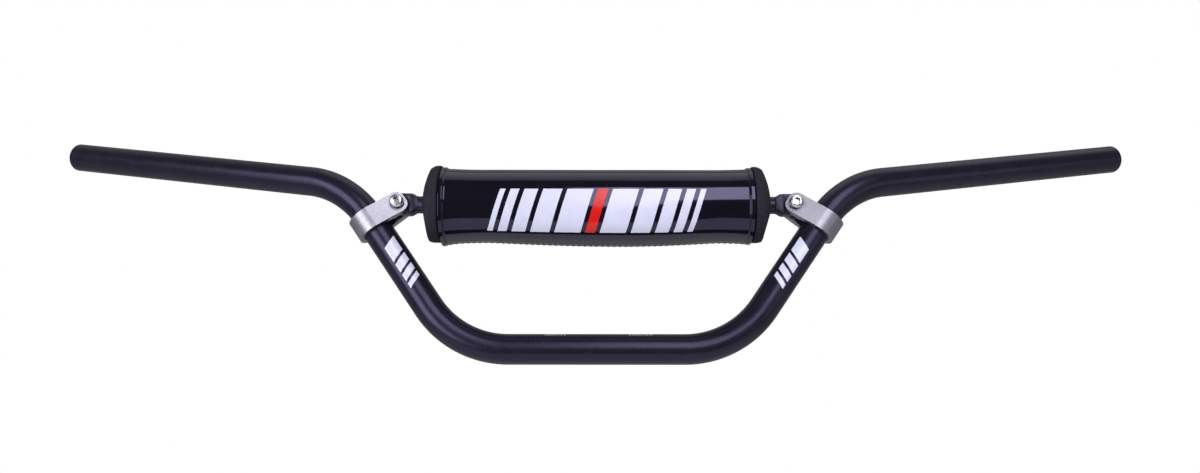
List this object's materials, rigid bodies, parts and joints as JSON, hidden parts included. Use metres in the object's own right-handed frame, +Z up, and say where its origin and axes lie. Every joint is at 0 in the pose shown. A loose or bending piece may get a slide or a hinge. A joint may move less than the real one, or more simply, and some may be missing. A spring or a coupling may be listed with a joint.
{
  "type": "motocross handlebar",
  "caption": "Motocross handlebar: swept-back tubular bar with a clamped crossbar and a cylindrical foam crossbar pad in a glossy wrapped cover.",
  "frame": {"origin": "on the tube's axis, in the middle of the straight length that the stem clamps hold", "axes": "+X along the bar to the end drawn on the right of the front view, +Y to the rider, towards which the grip ends sweep back, +Z up in the plane of the two legs"},
  "size_m": [0.8688, 0.1042, 0.1875],
  "materials": {
    "satin_black_tube": "satin black anodised, with a violet tint",
    "black_metal": "satin black anodised",
    "satin_aluminium": "satin, bead blasted, clear anodised",
    "bright_steel": "bright zinc plate",
    "white_nylon": "plain nylon",
    "black_foam": "matte closed-cell foam",
    "black_vinyl": "glossy coated fabric",
    "black_hook_and_loop": "matte hook-and-loop tape"
  },
  "bodies": {
    "root": {"handlebar_tube": "satin_black_tube", "crossbar": "black_metal", "crossbar_lug_left": "black_metal", "crossbar_lug_right": "black_metal", "crossbar_clamp_left": "satin_aluminium", "crossbar_clamp_right": "satin_aluminium", "clamp_screw_left": "bright_steel", "clamp_screw_right": "bright_steel", "clamp_nut_left": "bright_steel", "clamp_nut_right": "bright_steel", "nut_insert_left": "white_nylon", "nut_insert_right": "white_nylon", "pad_foam_core": "black_foam", "pad_cover": "black_vinyl", "pad_loop_strip": "black_hook_and_loop", "pad_hook_strip": "black_hook_and_loop"}
  },
  "joints": []
}
